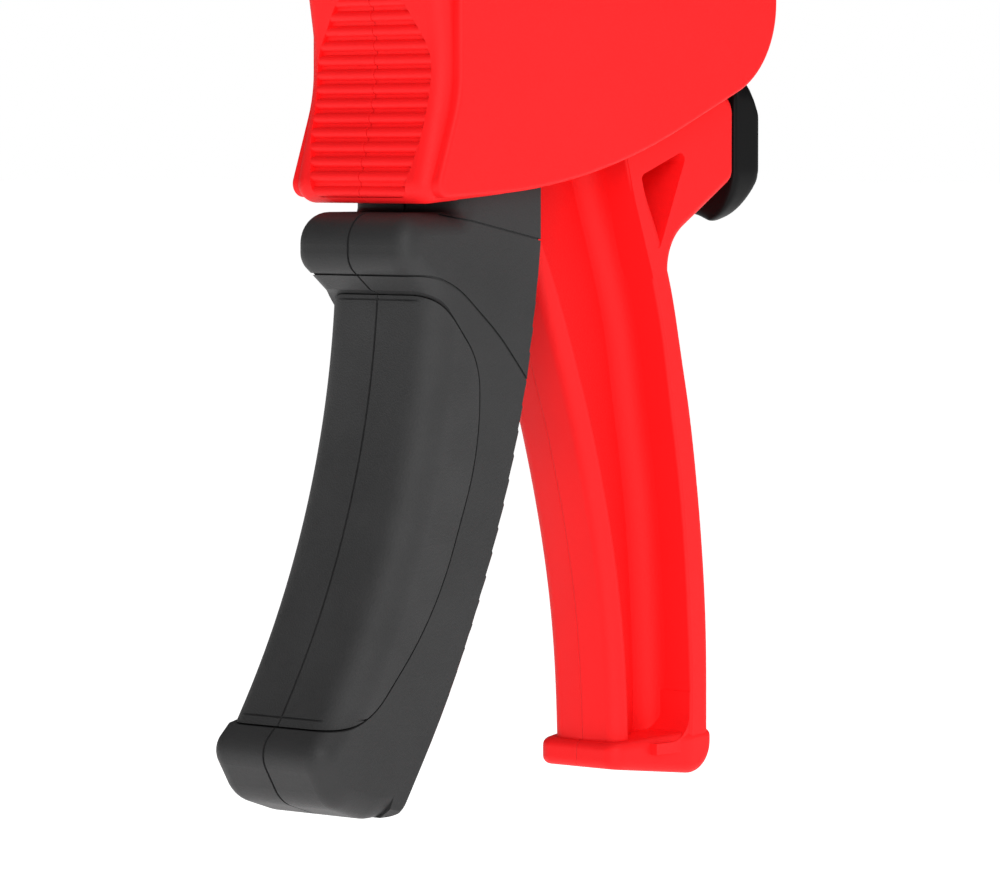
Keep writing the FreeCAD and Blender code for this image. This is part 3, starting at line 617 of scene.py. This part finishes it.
class GUN_OT_piston(bpy.types.Operator):
    """Press the piston plate's rim and rings"""
    bl_idname = "gun.piston"
    bl_label = "Piston"

    def execute(self, context):
        low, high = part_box("piston_plate")
        start, end, radius = low[0] / MM, high[0] / MM, (high[1] - low[1]) / 2 / MM
        disc = bar("piston_cup", "X", start, start + PISTON_SHEET, radius, sides=128)
        pick(disc, "faces", flat_at(0, start + PISTON_SHEET))
        bpy.ops.mesh.inset(thickness=PISTON_RIM * MM)
        bpy.ops.object.mode_set(mode="OBJECT")
        pick(disc, "faces", lambda face: face.normal.x > 0.99 and len(face.verts) == 4)
        bpy.ops.mesh.extrude_region_move(
            TRANSFORM_OT_translate={"value": ((end - start - PISTON_SHEET) * MM, 0.0, 0.0)})
        bpy.ops.object.mode_set(mode="OBJECT")
        for step, lift in PISTON_RINGS:
            pick(disc, "faces", lambda face: face.normal.x > 0.99 and len(face.verts) > 4)
            bpy.ops.mesh.inset(thickness=step * MM)
            bpy.ops.transform.translate(value=(lift * MM, 0.0, 0.0))
            bpy.ops.object.mode_set(mode="OBJECT")
        carve(disc, bar("hole", "X", start - 1.0, end + 1.0, PISTON_BORE, sides=48))
        apply_modifier(disc, "BEVEL", width=PISTON_EDGE * MM, segments=3, limit_method="ANGLE",
                       angle_limit=math.radians(35))
        complete(disc, "rod", "bright_steel", "piston_plate")
        return {"FINISHED"}


class GUN_OT_stage(bpy.types.Operator):
    """Set up the plain floor, the soft lights and the camera"""
    bl_idname = "gun.stage"
    bl_label = "Stage"

    def execute(self, context):
        stage = context.scene.stage_settings
        self.floor(context, stage)
        self.world(context)
        for name, power, place, aim, width in LIGHTS:
            self.area(name, getattr(stage, power), place, aim, width)
        self.camera(context, stage)
        context.scene.view_settings.view_transform = "Standard"
        return {"FINISHED"}

    def floor(self, context, stage):
        """A wide pale floor that glows a little, so that it stays even."""
        only()
        bpy.ops.mesh.primitive_plane_add(size=60.0, location=(0.0, 0.0, -stage.floor_drop))
        floor = context.object
        floor.name = "floor"
        bpy.ops.object.transform_apply(location=True, rotation=True, scale=True)
        made, tree, shader, coords = new_material("Floor")
        tone = context.scene.gun_colours.floor
        tree.links.new(shaded(tree, noise(tree, coords, 0.4), tone, 0.995, 1.0),
                       shader.inputs["Base Color"])
        shader.inputs["Roughness"].default_value = 0.9
        shader.inputs["Specular IOR Level"].default_value = 0.1
        shader.inputs["Emission Color"].default_value = (1.0, 1.0, 1.0, 1.0)
        shader.inputs["Emission Strength"].default_value = FLOOR_GLOW
        floor.data.materials.append(made)

    def world(self, context):
        """A white backdrop for the camera, and a weaker even light on the gun."""
        world = bpy.data.worlds.new("Studio")
        world.use_nodes = True
        tree = world.node_tree
        tree.nodes.clear()
        out = tree.nodes.new("ShaderNodeOutputWorld")
        seen = tree.nodes.new("ShaderNodeBackground")
        light = tree.nodes.new("ShaderNodeBackground")
        seen.inputs["Color"].default_value = (1.0, 1.0, 1.0, 1.0)
        light.inputs["Color"].default_value = (1.0, 1.0, 1.0, 1.0)
        seen.inputs["Strength"].default_value = 1.0
        light.inputs["Strength"].default_value = WORLD_LIGHT
        path = tree.nodes.new("ShaderNodeLightPath")
        mix = tree.nodes.new("ShaderNodeMixShader")
        tree.links.new(path.outputs["Is Camera Ray"], mix.inputs["Fac"])
        tree.links.new(light.outputs["Background"], mix.inputs[1])
        tree.links.new(seen.outputs["Background"], mix.inputs[2])
        tree.links.new(mix.outputs["Shader"], out.inputs["Surface"])
        context.scene.world = world

    def area(self, name, power, place, aim, width):
        """A square area light that points at its aim."""
        only()
        bpy.ops.object.light_add(type="AREA", location=place)
        lamp = bpy.context.object
        lamp.name = name
        lamp.data.shape = "SQUARE"
        lamp.data.size = width
        lamp.data.energy = power
        lamp.rotation_euler = (Vector(aim) - Vector(place)).to_track_quat("-Z", "Y").to_euler()

    def camera(self, context, stage):
        """A long lens behind the gun's right side."""
        only()
        bpy.ops.object.camera_add(location=CAMERA_PLACE)
        camera = context.object
        camera.name = "Camera"
        look = Vector(CAMERA_TARGET) - Vector(CAMERA_PLACE)
        camera.rotation_euler = look.to_track_quat("-Z", "Y").to_euler()
        camera.data.sensor_width = 36.0
        camera.data.lens = stage.lens
        camera.data.clip_start = 0.01
        camera.data.clip_end = 100.0
        camera.data.dof.use_dof = False
        context.scene.camera = camera


PIECE_OPERATORS = (GUN_OT_dress_nodes, GUN_OT_front_stop, GUN_OT_screws, GUN_OT_springs,
                   GUN_OT_nuts, GUN_OT_piston)


class GUN_PT_panel(bpy.types.Panel):
    """Lists the gun's colours, sizes and building steps"""
    bl_idname = "GUN_PT_panel"
    bl_label = "Caulking Gun"
    bl_space_type = "VIEW_3D"
    bl_region_type = "UI"
    bl_category = "Caulking Gun"

    def draw(self, context):
        layout = self.layout
        scene = context.scene
        for group in (scene.gun_colours, scene.gun_sizes, scene.stage_settings):
            box = layout.box()
            for name in group.__annotations__:
                box.prop(group, name)
        for operator in (*PIECE_OPERATORS, GUN_OT_stage):
            layout.operator(operator.bl_idname)


CLASSES = (GunColours, GunSizes, StageSettings, *PIECE_OPERATORS, GUN_OT_stage, GUN_PT_panel)


def register():
    for each in CLASSES:
        bpy.utils.register_class(each)
    bpy.types.Scene.gun_colours = PointerProperty(type=GunColours)
    bpy.types.Scene.gun_sizes = PointerProperty(type=GunSizes)
    bpy.types.Scene.stage_settings = PointerProperty(type=StageSettings)


def unregister():
    for name in ("stage_settings", "gun_sizes", "gun_colours"):
        delattr(bpy.types.Scene, name)
    for each in reversed(CLASSES):
        bpy.utils.unregister_class(each)


def main():
    """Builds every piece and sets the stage."""
    register()
    for operator in (*PIECE_OPERATORS, GUN_OT_stage):
        group, name = operator.bl_idname.split(".")
        getattr(getattr(bpy.ops, group), name)()


if __name__ == "__main__":
    main()
